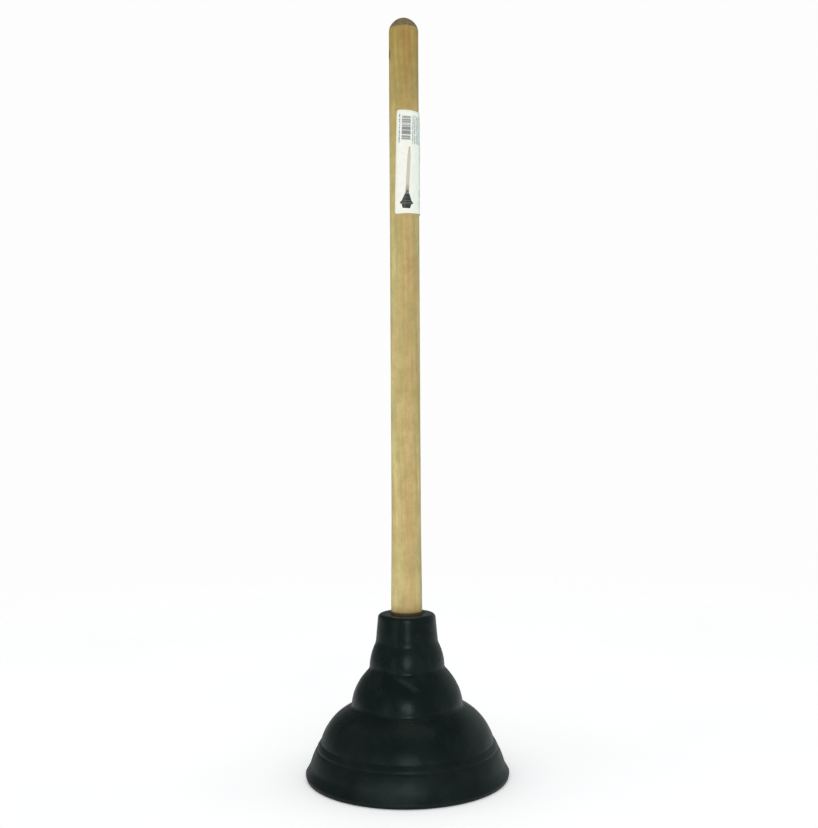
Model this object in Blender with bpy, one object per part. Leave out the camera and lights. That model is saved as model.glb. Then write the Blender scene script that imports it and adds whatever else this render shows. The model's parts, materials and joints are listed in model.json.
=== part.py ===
"""Toilet plunger: a tiered rubber force cup with a fold-out flange inside, and a turned wooden handle
that screws into the cup's collar and carries a paper label.

The Z axis is the plunger's own axis, and z = 0 is the plane of the cup's rim. Everything is in metres.
The handle slides down along Z as the cup collapses, and the flange folds down along Z out of the mouth.
"""

import math

import bmesh
import bpy

# Turned outlines
SEGMENTS = 40
CLEARANCE = 0.00035

# Force cup, outside: radius and height of the lower edge of each tier, and how far the tier bulges
CUP_TIERS = (
    (0.0750, 0.0035, 0.0),
    (0.0710, 0.0095, 0.0016),
    (0.0635, 0.0260, 0.0040),
    (0.0410, 0.0510, 0.0030),
    (0.0275, 0.0790, 0.0012),
    (0.0230, 0.0980, 0.0),
)
COLLAR_TOP_RADIUS = 0.0213
CUP_HEIGHT = 0.1190
COLLAR_ROUNDING = 0.0020
RIM_CHAMFER = 0.0014
TIER_STEPS = 5
ROUNDING_STEPS = 3

# Force cup, inside
WALL = 0.0050
RIM_INNER_RADIUS = 0.0700
CAVITY_TIERS = CUP_TIERS[1:4]
CAVITY_ROOF_HEIGHT = 0.0765

# Socket in the collar, and the rounded wood thread that it holds
SOCKET_DEPTH = 0.0340
THREAD_PITCH = 0.0060
THREAD_DEPTH = 0.0022
THREAD_TURNS = 4
THREAD_ROWS_PER_TURN = 6
THREAD_TOP_BELOW_COLLAR = 0.0060
THREAD_SHOULDER = 0.0015

# Handle
HANDLE_RADIUS = 0.0109
HANDLE_FLARE_RADIUS = 0.0115
HANDLE_FLARE_LENGTH = 0.0700
HANDLE_TOP = 0.5597
DOME_HEIGHT = 0.0100
DOME_STEPS = 6
TIP_GAP = 0.0020
TIP_CHAMFER = 0.0015

# Fold-out flange, folded up inside the cup
FLANGE_WALL = 0.0030
FLANGE_WEB_BOTTOM = 0.0040
FLANGE_HEEL_RADIUS = 0.0500
FLANGE_LIP_RADIUS = 0.0430
FLANGE_LIP_HEIGHT = 0.0320
LIP_STEPS = 4

# Label, as a flat sheet that is then wrapped round the handle
LABEL_WIDTH = 0.0381
LABEL_HEIGHT = 0.0762
LABEL_THICKNESS = 0.0004
LABEL_MIDDLE_HEIGHT = 0.4505
LABEL_LEFT_EDGE = math.radians(-34.0)
LABEL_SLANT = math.radians(2.0)
LABEL_CORNER = 0.0020
LABEL_COLUMNS = 24

# Finishes: base colour, roughness
RUBBER = ((0.009, 0.014, 0.013), 0.42)
FLANGE_RUBBER = ((0.011, 0.016, 0.015), 0.50)
WOOD = ((0.55, 0.41, 0.18), 0.48)
PAPER = ((0.86, 0.89, 0.88), 0.35)
FRONT = -math.pi / 2
SHARP_ANGLE = math.radians(35.0)


def clear_scene():
    for obj in list(bpy.data.objects):
        bpy.data.objects.remove(obj)


def material(name, finish):
    colour, roughness = finish
    made = bpy.data.materials.new(name)
    made.use_nodes = True
    shader = made.node_tree.nodes["Principled BSDF"]
    shader.inputs["Base Color"].default_value = (*colour, 1.0)
    shader.inputs["Roughness"].default_value = roughness
    shader.inputs["Metallic"].default_value = 0.0
    return made


# ---------------------------------------------------------------- outlines in the (radius, height) plane


def arc(start, end, bulge, steps):
    """Points with their outward normals on an arc from start to end, both included.

    The arc stands off its chord by bulge, to the right of the way from start to end.
    """
    chord = math.dist(start, end)
    along = ((end[0] - start[0]) / chord, (end[1] - start[1]) / chord)
    aside = (along[1], -along[0])
    half_angle = 2 * math.atan2(2 * bulge, chord)
    points = []
    for step in range(steps + 1):
        turn = half_angle * (2 * step / steps - 1)
        if bulge:
            radius = chord / (2 * math.sin(half_angle))
            run = chord / 2 + radius * math.sin(turn)
            rise = radius * (math.cos(turn) - math.cos(half_angle))
        else:
            run, rise = chord * step / steps, 0.0
        point = tuple(start[k] + along[k] * run + aside[k] * rise for k in (0, 1))
        normal = tuple(aside[k] * math.cos(turn) + along[k] * math.sin(turn) for k in (0, 1))
        points.append((point, normal))
    return points


def tier_arc(tier):
    """One tier of the cup, from its lower edge to the next tier's."""
    upper_edges = [(radius, height) for radius, height, _ in CUP_TIERS[1:]]
    upper_edges.append((COLLAR_TOP_RADIUS, CUP_HEIGHT - COLLAR_ROUNDING))
    radius, height, bulge = tier
    end = upper_edges[CUP_TIERS.index(tier)]
    return arc((radius, height), end, bulge, TIER_STEPS if bulge else 1)


def cup_outside():
    """From the rim's outer edge up over the tiers to the collar's top face."""
    rim_radius = CUP_TIERS[0][0]
    points = [(rim_radius - RIM_CHAMFER, 0.0), (rim_radius, RIM_CHAMFER)]
    for tier in CUP_TIERS:
        points += [point for point, _ in tier_arc(tier)[:-1]]
    rounding_end = (COLLAR_TOP_RADIUS - COLLAR_ROUNDING, CUP_HEIGHT)
    corner = (COLLAR_TOP_RADIUS, CUP_HEIGHT - COLLAR_ROUNDING)
    quarter_bulge = COLLAR_ROUNDING * (1 - math.cos(math.pi / 4))
    points += [point for point, _ in arc(corner, rounding_end, quarter_bulge, ROUNDING_STEPS)]
    return points


def cup_inside():
    """From the cavity's roof on the axis down to the rim's inner edge, one wall inside the tiers."""
    points = [(0.0, CAVITY_ROOF_HEIGHT)]
    for tier in reversed(CAVITY_TIERS):
        for point, normal in reversed(tier_arc(tier)):
            points.append((point[0] - WALL * normal[0], point[1] - WALL * normal[1]))
    points.append((RIM_INNER_RADIUS, 0.0))
    return points


def thread_heights():
    """Heights of the thread's rows, from its lower end up."""
    top = CUP_HEIGHT - THREAD_TOP_BELOW_COLLAR
    length = THREAD_TURNS * THREAD_PITCH
    rows = THREAD_TURNS * THREAD_ROWS_PER_TURN
    return [top - length + length * row / rows for row in range(rows + 1)]


def thread_shift(angle, height):
    """How far the right-hand thread moves its middle radius in or out, fading over a turn at each end."""
    low, high = thread_heights()[0], thread_heights()[-1]
    fade = min(1.0, (height - low) / THREAD_PITCH, (high - height) / THREAD_PITCH)
    if fade <= 0.0:
        return 0.0
    return fade * THREAD_DEPTH / 2 * math.cos(2 * math.pi * height / THREAD_PITCH - angle)


def threaded_stretch(clearance):
    """The handle's or the socket's thread with the shoulder above it, from the bottom up."""
    middle = HANDLE_RADIUS - THREAD_DEPTH / 2 + clearance
    points = [(middle, height) for height in thread_heights()]
    points.append((HANDLE_FLARE_RADIUS + clearance, thread_heights()[-1] + THREAD_SHOULDER))
    return points


def cup_outline():
    floor = CUP_HEIGHT - SOCKET_DEPTH
    socket = threaded_stretch(CLEARANCE)
    mouth = (HANDLE_FLARE_RADIUS + CLEARANCE, CUP_HEIGHT)
    return [*cup_inside(), *cup_outside(), mouth, *reversed(socket), (socket[0][0], floor), (0.0, floor)]


def handle_outline():
    tip = CUP_HEIGHT - SOCKET_DEPTH + TIP_GAP
    stem = threaded_stretch(0.0)
    points = [(0.0, tip), (stem[0][0] - TIP_CHAMFER, tip), (stem[0][0], tip + TIP_CHAMFER), *stem]
    points.append((HANDLE_FLARE_RADIUS, CUP_HEIGHT))
    points.append((HANDLE_RADIUS, CUP_HEIGHT + HANDLE_FLARE_LENGTH))
    for step in range(DOME_STEPS + 1):
        turn = math.pi / 2 * step / DOME_STEPS
        height = HANDLE_TOP - DOME_HEIGHT * (1 - math.sin(turn))
        points.append((HANDLE_RADIUS * math.cos(turn), height))
    points[-1] = (0.0, HANDLE_TOP)
    return points


def rim_wall_radius(height):
    """Inner radius of the cup's skirt, which is straight between the rim and the first tier."""
    point, normal = tier_arc(CAVITY_TIERS[0])[0]
    upper = (point[0] - WALL * normal[0], point[1] - WALL * normal[1])
    return RIM_INNER_RADIUS + (upper[0] - RIM_INNER_RADIUS) * height / upper[1]


def flange_outline():
    """A closed loop: a flat web inside the skirt, and a wall that leans in up to a rounded lip."""
    web_top = FLANGE_WEB_BOTTOM + FLANGE_WALL
    outer_wall = FLANGE_HEEL_RADIUS + FLANGE_WALL / 2
    inner_wall = FLANGE_HEEL_RADIUS - FLANGE_WALL / 2
    outer_lip = (FLANGE_LIP_RADIUS + FLANGE_WALL / 2, FLANGE_LIP_HEIGHT)
    inner_lip = (FLANGE_LIP_RADIUS - FLANGE_WALL / 2, FLANGE_LIP_HEIGHT)
    lip = [point for point, _ in arc(outer_lip, inner_lip, FLANGE_WALL / 2, LIP_STEPS)]
    return [
        (inner_wall, FLANGE_WEB_BOTTOM),
        (rim_wall_radius(FLANGE_WEB_BOTTOM) - CLEARANCE, FLANGE_WEB_BOTTOM),
        (rim_wall_radius(web_top) - CLEARANCE, web_top),
        (outer_wall, web_top),
        *lip,
    ]


# ---------------------------------------------------------------------------------------------- solids


def ring_of(mesh, radius, height, threaded):
    if radius == 0.0:
        return [mesh.verts.new((0.0, 0.0, height))]
    ring = []
    for column in range(SEGMENTS):
        angle = 2 * math.pi * column / SEGMENTS
        reach = radius + (thread_shift(angle, height) if threaded else 0.0)
        ring.append(mesh.verts.new((reach * math.cos(angle), reach * math.sin(angle), height)))
    return ring


def bridge(mesh, lower, upper):
    """Faces between two rings, where a ring of one vertex is a pole."""
    for column in range(SEGMENTS):
        after = (column + 1) % SEGMENTS
        if len(lower) == 1:
            mesh.faces.new((lower[0], upper[after], upper[column]))
        elif len(upper) == 1:
            mesh.faces.new((lower[column], lower[after], upper[0]))
        else:
            mesh.faces.new((lower[column], lower[after], upper[after], upper[column]))


def finished(name, mesh, origin_height, finish):
    """The named object, with its origin on the axis at origin_height."""
    bmesh.ops.translate(mesh, verts=mesh.verts, vec=(0.0, 0.0, -origin_height))
    bmesh.ops.recalc_face_normals(mesh, faces=mesh.faces)
    data = bpy.data.meshes.new(name)
    mesh.to_mesh(data)
    mesh.free()
    data.materials.append(material(name, finish))
    data.shade_smooth()
    data.set_sharp_from_angle(angle=SHARP_ANGLE)
    obj = bpy.data.objects.new(name, data)
    obj.location.z = origin_height
    bpy.context.scene.collection.objects.link(obj)
    return obj


def turned(name, outline, origin_height, finish, closed=False):
    """The outline swept round Z. A closed one makes a ring, and any other starts and ends on the axis."""
    mesh = bmesh.new()
    thread_radius = HANDLE_RADIUS - THREAD_DEPTH / 2 + CLEARANCE
    rings = [ring_of(mesh, radius, height, radius <= thread_radius) for radius, height in outline]
    for lower, upper in zip(rings, rings[1:]):
        bridge(mesh, lower, upper)
    if closed:
        bridge(mesh, rings[-1], rings[0])
    return finished(name, mesh, origin_height, finish)


def label_edge_inset(across):
    """How much shorter the label is at this distance from its left edge, because its corners are round."""
    reach = min(across, LABEL_WIDTH - across)
    if reach >= LABEL_CORNER:
        return 0.0
    return LABEL_CORNER - math.sqrt(LABEL_CORNER**2 - (LABEL_CORNER - reach) ** 2)


def wrapped(across, up, radius):
    """A point of the slanted flat sheet, measured from its left edge and its middle, laid on the handle."""
    from_middle = across - LABEL_WIDTH / 2
    slanted = from_middle * math.cos(LABEL_SLANT) + up * math.sin(LABEL_SLANT)
    height = up * math.cos(LABEL_SLANT) - from_middle * math.sin(LABEL_SLANT)
    angle = FRONT + LABEL_LEFT_EDGE + (slanted + LABEL_WIDTH / 2) / HANDLE_RADIUS
    return (radius * math.cos(angle), radius * math.sin(angle), LABEL_MIDDLE_HEIGHT + height)


def label_solid():
    """The sheet as a closed band of four-cornered sections, side by side round the handle."""
    mesh = bmesh.new()
    inside = HANDLE_RADIUS + CLEARANCE
    outside = inside + LABEL_THICKNESS
    sections = []
    for column in range(LABEL_COLUMNS + 1):
        # The columns crowd towards the two side edges, where the corners turn.
        across = LABEL_WIDTH * (1 - math.cos(math.pi * column / LABEL_COLUMNS)) / 2
        up = LABEL_HEIGHT / 2 - label_edge_inset(across)
        corners = ((up, inside), (up, outside), (-up, outside), (-up, inside))
        sections.append([mesh.verts.new(wrapped(across, z, radius)) for z, radius in corners])
    for left, right in zip(sections, sections[1:]):
        for corner in range(4):
            after = (corner + 1) % 4
            mesh.faces.new((left[corner], right[corner], right[after], left[after]))
    mesh.faces.new(sections[0])
    mesh.faces.new(reversed(sections[-1]))
    return finished("label", mesh, LABEL_MIDDLE_HEIGHT, PAPER)


def attach(child, parent):
    child.parent = parent
    child.location.z -= parent.location.z


def build():
    clear_scene()
    cup = turned("force_cup", cup_outline(), 0.0, RUBBER)
    flange = turned("fold_out_flange", flange_outline(), FLANGE_WEB_BOTTOM, FLANGE_RUBBER, closed=True)
    handle = turned("handle", handle_outline(), CUP_HEIGHT - SOCKET_DEPTH + TIP_GAP, WOOD)
    label = label_solid()
    attach(flange, cup)
    attach(handle, cup)
    attach(label, handle)


build()
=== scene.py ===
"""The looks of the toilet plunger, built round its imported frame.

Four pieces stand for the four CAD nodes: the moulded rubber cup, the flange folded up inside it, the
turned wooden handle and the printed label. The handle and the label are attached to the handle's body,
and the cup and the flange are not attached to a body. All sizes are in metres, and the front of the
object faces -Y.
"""

import json
import math

import bmesh
import bpy
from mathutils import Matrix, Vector, noise

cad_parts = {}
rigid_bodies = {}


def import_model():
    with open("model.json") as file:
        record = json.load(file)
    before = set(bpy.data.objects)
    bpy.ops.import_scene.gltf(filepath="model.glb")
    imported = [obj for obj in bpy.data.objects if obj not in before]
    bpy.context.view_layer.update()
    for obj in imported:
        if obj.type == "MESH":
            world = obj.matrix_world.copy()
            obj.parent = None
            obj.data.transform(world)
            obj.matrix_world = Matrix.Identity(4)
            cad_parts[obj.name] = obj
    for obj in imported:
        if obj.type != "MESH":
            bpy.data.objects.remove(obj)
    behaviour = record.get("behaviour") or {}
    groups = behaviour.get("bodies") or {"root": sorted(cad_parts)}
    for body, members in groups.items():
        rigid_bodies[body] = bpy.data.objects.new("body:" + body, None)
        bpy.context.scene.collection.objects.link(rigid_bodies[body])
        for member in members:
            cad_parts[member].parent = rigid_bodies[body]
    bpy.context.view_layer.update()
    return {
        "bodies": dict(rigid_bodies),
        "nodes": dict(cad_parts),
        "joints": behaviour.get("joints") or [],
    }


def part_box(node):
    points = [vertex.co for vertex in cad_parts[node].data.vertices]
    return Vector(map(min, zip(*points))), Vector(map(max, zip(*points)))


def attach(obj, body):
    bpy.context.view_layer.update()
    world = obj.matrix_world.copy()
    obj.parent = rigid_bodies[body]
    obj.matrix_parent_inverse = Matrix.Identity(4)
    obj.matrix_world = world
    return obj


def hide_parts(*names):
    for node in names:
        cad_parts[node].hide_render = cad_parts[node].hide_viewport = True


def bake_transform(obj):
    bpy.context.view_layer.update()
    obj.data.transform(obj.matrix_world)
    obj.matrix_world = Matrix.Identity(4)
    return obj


MM = 0.001
FRONT = -math.pi / 2

# The handle's thread and the socket that takes it
THREAD_PITCH = 6.0 * MM
THREAD_DEPTH = 2.2 * MM
THREAD_TURNS = 4
THREAD_TOP_BELOW_COLLAR = 6.0 * MM
THREAD_RUN_OUT = 1.5 * MM
TIP_CHAMFER = 1.5 * MM
SOCKET_GAP = 0.35 * MM
SOCKET_END_GAP = 2.0 * MM
SOCKET_MOUTH_EDGE = 0.7 * MM
SOCKET_CORNER = 0.6 * MM

# How finely the pieces are cut
RUBBER_COLUMNS = 144
HANDLE_COLUMNS = 96
HANDLE_ROWS = 90
DOME_ROWS = 14
THREAD_ROWS = 12 * THREAD_TURNS
TIER_STEPS = 16
COLLAR_EDGE_STEPS = 6
LIP_BEAD_STEPS = 12
LABEL_COLUMNS = 76
LABEL_ROWS = 36

# An outline's spacing of points, and how many times its corners are eased
CAVITY_FINISH = (1.3 * MM, 3)
SKIN_FINISH = (0.75 * MM, 7)
FLANGE_FINISH = (0.8 * MM, 4)

# The cup's tiers from the rim up: lower edge as shares of the cup's radius and height, and the height of
# the bulge as a share of the radius. The last one is the straight collar.
TIERS = (
    (1.000, 0.0252, 0.0000),
    (0.9533, 0.0740, 0.0110),
    (0.847, 0.2185, 0.0533),
    (0.547, 0.4286, 0.0400),
    (0.367, 0.6639, 0.0160),
    (0.304, 0.8235, 0.0000),
)
COLLAR_RADIUS_SHARE = 0.281
COLLAR_ROUNDING = 2.0 * MM

# A quarter circle stands off its chord by about this share of its radius
QUARTER_BULGE = 0.29

# The cup's wall, its roof inside, and the edges of the ring that it stands on
WALL = 5.0 * MM
ROOF_RISE = 1.2 * MM
ROOF_SHARES = (0.02, 0.3, 0.6, 0.85)
RIM_INNER_BEVEL = (0.8 * MM, 1.0 * MM)
RIM_OUTER_ROUNDING = 1.8 * MM
RIM_OUTER_RISE = 0.35 * MM

# A thick moulding is a little oval and has three faint lobes, as shares of its radius, and its tiers are
# a little askew
OVAL = 0.0030
LOBES = 0.0012
TIERS_RISEN = 0.40 * MM
TIERS_TILTED = 0.30 * MM
TIERS_SADDLED = 0.45 * MM
TIERS_RIPPLED = 0.20 * MM

# Two shares of the cup's height; cup_piece makes points at them that nothing uses
COLLAPSE_START = 0.25
COLLAPSE_END = 0.71

# A parting line at each side: how far round its flat top and its foot are, in radians
PARTING_TOP = 0.0022
PARTING_FOOT = 0.0090
PARTING_COLUMNS = (PARTING_TOP, 0.0050, PARTING_FOOT, 0.0160)
PARTING_HEIGHT = 0.22 * MM

# A narrow bead runs round the cup under its largest tier, between two fine grooves
BEAD_MIDDLE = 23.2 * MM
BEAD_HALF_WIDTH = 2.3 * MM
BEAD_HEIGHT = 0.22 * MM
GROOVE_DEPTH = 0.30 * MM
GROOVE_WIDTH = 0.85 * MM

# A shallow fold lies slanting across the front shoulder of the second tier: turn from the front, height
FOLD_START = (math.radians(-22.0), 78.0 * MM)
FOLD_END = (math.radians(16.0), 69.4 * MM)
FOLD_CURVE = 1.5
FOLD_HALF_WIDTH = 2.1 * MM
FOLD_HEIGHT = 0.85 * MM

# The flange: its web runs into the skirt, and its funnel narrows from the heel to a beaded lip. The neck
# and the bead are given as a half width and a distance below the lip's edge.
FLANGE_WALL = 3.0 * MM
FLANGE_OVERLAP = 0.9 * MM
FLANGE_EDGE_TAPER = 1.2 * MM
FLANGE_FILLET = 1.5 * MM
HEEL_RADIUS = 50.0 * MM
HEEL_BEVEL = (0.8 * MM, 0.6 * MM)
HEEL_ROUNDING = 2.2 * MM
LIP_RADIUS = 43.0 * MM
LIP_BELOW_CAD = 1.5 * MM
LIP_NECK = (1.4 * MM, 4.0 * MM)
LIP_BEAD = (1.9 * MM, 1.6 * MM)
LIP_BEAD_BULGE = 2.6 * MM
LIP_WAVE = 0.5 * MM

# The handle swells towards the collar, isn't quite even, and ends in a dome. The dome is a superellipse:
# at a power of 2 it would be round, and 1 would make it a cone.
SWELL_LENGTH = 75 * MM
UNEVENNESS = 0.06 * MM
UNEVEN_ROUND = 1.3
UNEVEN_ALONG = 22.0
DOME_HEIGHT = 10.0 * MM
DOME_POWER = 1.78

# The label, as a flat sheet that is then wrapped round the handle. It lifts off the wood between two
# shares of its width, and comes back most of the way between two more.
LABEL_WIDTH = 38.1 * MM
LABEL_HEIGHT = 76.2 * MM
LABEL_LEFT_EDGE = math.radians(-34.0)
LABEL_SLANT = math.radians(1.6)
LABEL_SKEW = 0.065
LABEL_CORNER = 2.0 * MM
LABEL_THICKNESS = 0.15 * MM
LABEL_GLUE = 0.09 * MM
LABEL_LIFT = 0.6 * MM
LABEL_LIFTING = (0.38, 0.62)
LABEL_RETURNING = (0.74, 1.0)
LABEL_RETURNED = 0.75
LABEL_SHARP_EDGE = math.radians(40)
LABEL_FOLD = 20.8 * MM

# What is printed on the label, across from its left edge and up from its lower edge
PRINT_BLUR = 0.06 * MM
BARS_ACROSS = (4.2 * MM, 10.7 * MM)
BARS_UP = (54.4 * MM, 71.8 * MM)
BARS_DENSEST = 62.0 * MM
FINE_BAR = 0.17 * MM
WIDE_BAR = 0.36 * MM
RULES_UP = (52.0 * MM, 73.0 * MM)
LEFT_RULE = (1.6 * MM, 3.5 * MM)
RIGHT_RULES = (11.3 * MM, 20.6 * MM)
RULE_SPACING = 1.7 * MM
RULE_SHARES = (0.20, 0.68)
PICTURE_MIDDLE = 9.0 * MM
PICTURE_FOOT = 10.0 * MM
PICTURE_LEAN = 0.030

# The picture's parts: low edge and half width there, then high edge and half width there
PICTURED_STICK = (16.0 * MM, 1.30 * MM, 44.5 * MM, 1.25 * MM)
PICTURED_TIP = (44.5 * MM, 0.75 * MM, 49.5 * MM, 0.60 * MM)
PICTURED_CUP = (
    (12.4 * MM, 2.65 * MM, 17.6 * MM, 0.70 * MM),
    (10.0 * MM, 3.55 * MM, 12.4 * MM, 2.65 * MM),
    (8.5 * MM, 5.00 * MM, 10.0 * MM, 3.55 * MM),
    (7.5 * MM, 4.80 * MM, 8.5 * MM, 5.00 * MM),
    (4.3 * MM, 2.70 * MM, 7.5 * MM, 3.70 * MM),
)

# Rubber: its two colours, its pale colour for dust and painted highlights, and sheen, its painted rim
# highlight (x and z), and its relief as rows of features in a metre, detail, roughness, depth and strength
RUBBER_DARK = (0.0052, 0.0098, 0.0094)
RUBBER_PALE = (0.0085, 0.0140, 0.0132)
PALE_DUST_AND_HIGHLIGHT = (0.040, 0.054, 0.048)
RUBBER_SHEEN = (0.72, 1.0, 0.95)
RIM_HIGHLIGHT_MIDDLE = (-12 * MM, 9 * MM)
RIM_HIGHLIGHT_HALF_SIZE = (30 * MM, 9 * MM)
RUBBER_RELIEF = (
    (48.0, 2.0, 0.5, 0.9 * MM, 0.6),
    (210.0, 3.0, 0.55, 0.14 * MM, 0.6),
    (650.0, 3.0, 0.6, 0.04 * MM, 0.5),
    (2400.0, 2.0, 0.5, 0.012 * MM, 0.5),
)

# Wood: its colours, then factors that its colour is multiplied by
WOOD_OLIVE = (0.505, 0.417, 0.151)
WOOD_GOLD = (0.625, 0.485, 0.192)
WOOD_ORANGE = (0.620, 0.402, 0.162)
LATE_WOOD = (0.420, 0.275, 0.082)
WOOD_FIBRE = (0.400, 0.275, 0.088)
WOOD_FLECK = (0.660, 0.510, 0.230)
WOOD_PORE = (0.230, 0.140, 0.050)
DOME_SHADE = (0.120, 0.098, 0.058)
DAMP_WOOD = (0.400, 0.230, 0.070)
COLLAR_BAND = (0.026, 0.022, 0.011)
WORN_EDGE = (0.640, 0.500, 0.250)
SCAR = (0.095, 0.055, 0.024)
PALE_PATCH = (1.09, 1.11, 1.15)
BROWN_PATCH = (0.91, 0.89, 0.82)
LEFT_SIDE = (1.11, 1.21, 1.30)
RIGHT_SIDE = (0.90, 0.95, 0.97)
TOP_SHADE_AND_TONE = (0.68, 0.57, 0.25)

# Growth rings lie round a pith beside the dowel, that leans by this much x and y a metre and wanders
RING_WIDTH = 4.3 * MM
PITH = (-31.0 * MM, -17.0 * MM)
PITH_LEAN = (-0.035, 0.018)
PITH_WANDER = 14.0 * MM

# The warm band's middle (x), and the scar's (y, and z below the handle's top), with its half size (z, y)
WARM_BAND = 2.8 * MM
SCAR_ASIDE = -2.8 * MM
SCAR_BELOW_TOP = 28 * MM
SCAR_HALF_SIZE = (5.0 * MM, 2.6 * MM)

# Paper and ink
PAPER_CREAM = (0.925, 0.930, 0.830)
PAPER_WHITE = (0.985, 0.985, 0.900)
PAPER_COOLED = (0.88, 0.98, 0.96)
PAPER_YELLOWED = (0.72, 0.68, 0.46)
FOLD_SHADE = (0.30, 0.36, 0.32)
BAR_INK = (0.085, 0.110, 0.130)
RULE_INK = (0.20, 0.31, 0.31)
STICK_INK = (0.590, 0.550, 0.420)
STICK_END_INK = (0.10, 0.10, 0.09)
CUP_INK = (0.004, 0.012, 0.008)
CUP_SHEEN_INK = (0.050, 0.090, 0.072)

# The floor fades out between two distances, glows a little, and is weak in reflections
FLOOR_RADIUS = 2.0
FLOOR_COLUMNS = 96
FLOOR_FADE = (0.25, 1.10)
FLOOR_TONES = (0.86, 0.90)
FLOOR_GLOW = 0.20
FLOOR_DIMMED = 0.80
FLOOR_DROP = 0.15 * MM
LIP_CLEARANCE = 1.0 * MM

# The room as the camera sees it, as light, and as reflections see it
BACKDROP = (0.985, 0.985, 0.985)
ROOM_LIGHT = (0.98, 0.99, 1.0)
ROOM_STRENGTH = 0.93
MIRRORED_ROOM = (0.93, 1.0, 0.97)
ROOM_TILT = math.radians(16.0)

# Softboxes: name, place, what it faces, width, height, watts, shape
SOFTBOXES = (
    ("front_softbox", (0.03, -1.0, 0.30), (0.0, 0.0, 0.20), 0.36, 0.38, 0.56, "ELLIPSE"),
    ("side_softbox", (-0.75, -0.85, 0.25), (0.0, 0.0, 0.10), 0.35, 0.50, 0.12, "RECTANGLE"),
    ("top_softbox", (0.2, -0.1, 1.7), (0.0, 0.0, 0.0), 1.0, 1.0, 0.4, "RECTANGLE"),
)

# The camera stands level in front of the object
CAMERA_DISTANCE = 0.806
CAMERA_HEIGHT = 0.2665
CAMERA_SHIFT = 2.5 * MM
CAMERA_ROLL = math.radians(0.32)
CAMERA_LENS = 47.3


# ---- outlines


def arc(start, end, bulge, steps):
    """Points with outward normals on an arc that stands off its chord by bulge, to the right of its way."""
    chord = math.dist(start, end)
    along = ((end[0] - start[0]) / chord, (end[1] - start[1]) / chord)
    aside = (along[1], -along[0])
    half_angle = 2 * math.atan2(2 * bulge, chord)
    points = []
    for step in range(steps + 1):
        turn = half_angle * (2 * step / steps - 1)
        if bulge:
            radius = chord / (2 * math.sin(half_angle))
            run = chord / 2 + radius * math.sin(turn)
            rise = radius * (math.cos(turn) - math.cos(half_angle))
        else:
            run, rise = chord * step / steps, 0.0
        point = tuple(start[k] + along[k] * run + aside[k] * rise for k in (0, 1))
        normal = tuple(aside[k] * math.cos(turn) + along[k] * math.sin(turn) for k in (0, 1))
        points.append((point, normal))
    return points


def resampled(points, spacing):
    """The polyline with its points about one spacing apart. Its own points are kept."""
    dense = [points[0]]
    for start, end in zip(points, points[1:]):
        steps = max(1, round(math.dist(start, end) / spacing))
        for step in range(1, steps + 1):
            share = step / steps
            dense.append(tuple(start[k] + (end[k] - start[k]) * share for k in (0, 1)))
    return dense


def eased(points, spacing, passes):
    """The polyline with its corners eased, as a mould leaves them. Its ends stay."""
    points = resampled(points, spacing)
    for _ in range(passes):
        inner = [
            tuple(0.25 * a[k] + 0.5 * b[k] + 0.25 * c[k] for k in (0, 1))
            for a, b, c in zip(points, points[1:], points[2:])
        ]
        points = [points[0], *inner, points[-1]]
    return points


def ease(value, low, high):
    """0 below low, 1 above high, and a smooth step in between."""
    share = min(1.0, max(0.0, (value - low) / (high - low)))
    return share * share * (3 - 2 * share)


# ---- meshes


def new_piece(name, mesh, material):
    """The finished mesh as an object with its material."""
    bmesh.ops.recalc_face_normals(mesh, faces=mesh.faces)
    data = bpy.data.meshes.new(name)
    mesh.to_mesh(data)
    mesh.free()
    # The materials are laid out on the unbent shape, so they stay in place as a piece bends.
    rest = data.attributes.new("rest", "FLOAT_VECTOR", "POINT")
    rest.data.foreach_set("vector", [number for vertex in data.vertices for number in vertex.co])
    data.shade_smooth()
    data.materials.append(material)
    obj = bpy.data.objects.new(name, data)
    bpy.context.scene.collection.objects.link(obj)
    return obj


def lathe(outline, angles, shape, closed=False):
    """The outline swept round Z. shape(radius, height, angle) gives each point its radius and height."""
    mesh = bmesh.new()
    rings = []
    for radius, height in outline:
        if radius == 0.0:
            rings.append([mesh.verts.new((0.0, 0.0, height))])
            continue
        ring = []
        for angle in angles:
            reach, level = shape(radius, height, angle)
            ring.append(mesh.verts.new((reach * math.cos(angle), reach * math.sin(angle), level)))
        rings.append(ring)
    pairs = list(zip(rings, rings[1:]))
    if closed:
        pairs.append((rings[-1], rings[0]))
    for lower, upper in pairs:
        for column in range(len(angles)):
            after = (column + 1) % len(angles)
            corners = [lower[column % len(lower)], lower[after % len(lower)]]
            corners += [upper[after % len(upper)], upper[column % len(upper)]]
            mesh.faces.new(list(dict.fromkeys(corners)))
    return mesh


def even_angles(columns):
    return [2 * math.pi * column / columns for column in range(columns)]


def thread_span(cup_height):
    """The lowest and highest points of the thread."""
    top = cup_height - THREAD_TOP_BELOW_COLLAR
    return top - THREAD_TURNS * THREAD_PITCH, top


def thread_shift(angle, height, low, high):
    """The right-hand thread's move in or out, fading over a turn at each end."""
    fade = min(1.0, (height - low) / THREAD_PITCH, (high - height) / THREAD_PITCH)
    if fade <= 0.0:
        return 0.0
    return fade * THREAD_DEPTH / 2 * math.cos(2 * math.pi * height / THREAD_PITCH - angle)


# ---- node helpers


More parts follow.
